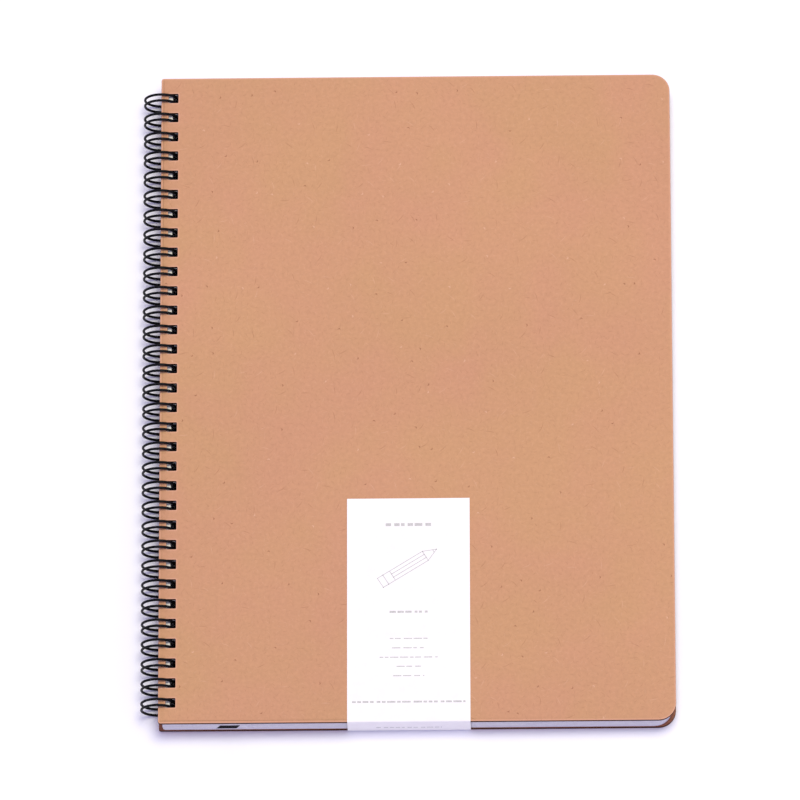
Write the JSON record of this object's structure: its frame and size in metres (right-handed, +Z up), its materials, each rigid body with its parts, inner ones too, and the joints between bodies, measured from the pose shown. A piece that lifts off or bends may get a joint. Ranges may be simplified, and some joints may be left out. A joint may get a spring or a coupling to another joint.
{
  "type": "sketchbook",
  "caption": "Wire-bound sketchbook with plain kraft board covers, round fore-edge corners, white leaves, a ribbon marker and a paper band folded over the foot.",
  "frame": {"origin": "on the resting plane, the lowest line of the wire rings, under the middle of the outline of the closed book, wire included", "axes": "+X from the spine to the fore-edge, +Y from the foot to the head, +Z up out of the front cover, which lies on top"},
  "size_m": [0.2176, 0.2802, 0.015],
  "materials": {
    "cover_board": "uncoated brown kraft board, matt, with fine fibres",
    "leaf_paper": "uncoated white drawing paper",
    "black_wire": "nylon-coated black steel wire, satin",
    "black_ribbon": "woven black satin ribbon",
    "printed_paper": "white uncoated label paper with pale grey line marks"
  },
  "bodies": {
    "back_and_wire": {"back_cover": "cover_board", "binding_wire": "black_wire"},
    "rear_leaves": {"leaves_31_35": "leaf_paper", "leaves_36_40": "leaf_paper", "leaves_41_45": "leaf_paper", "leaves_46_50": "leaf_paper", "leaves_51_55": "leaf_paper", "leaves_56_60": "leaf_paper", "leaves_61_65": "leaf_paper", "leaves_66_70": "leaf_paper", "leaves_71_75": "leaf_paper", "leaves_76_80": "leaf_paper", "ribbon_marker": "black_ribbon"},
    "front_leaves": {"leaves_01_05": "leaf_paper", "leaves_06_10": "leaf_paper", "leaves_11_15": "leaf_paper", "leaves_16_20": "leaf_paper", "leaves_21_25": "leaf_paper", "leaves_26_30": "leaf_paper"},
    "cover": {"front_cover": "cover_board"},
    "band": {"paper_band": "printed_paper"}
  },
  "joints": [
    {"name": "rear_leaves_turn", "type": "hinge", "parent": "back_and_wire", "child": "rear_leaves", "pos_m": [-0.10125, 0, 0.0075], "axis": [0, -1, 0], "range_deg": [0, 180]},
    {"name": "front_leaves_turn", "type": "hinge", "parent": "rear_leaves", "child": "front_leaves", "pos_m": [-0.10125, 0, 0.0075], "axis": [0, -1, 0], "range_deg": [0, 180]},
    {"name": "cover_turn", "type": "hinge", "parent": "front_leaves", "child": "cover", "pos_m": [-0.10125, 0, 0.0075], "axis": [0, -1, 0], "range_deg": [0, 180]},
    {"name": "band_slide", "type": "slide", "parent": "back_and_wire", "child": "band", "axis": [0, -1, 0], "range_m": [0, 0.1]}
  ]
}
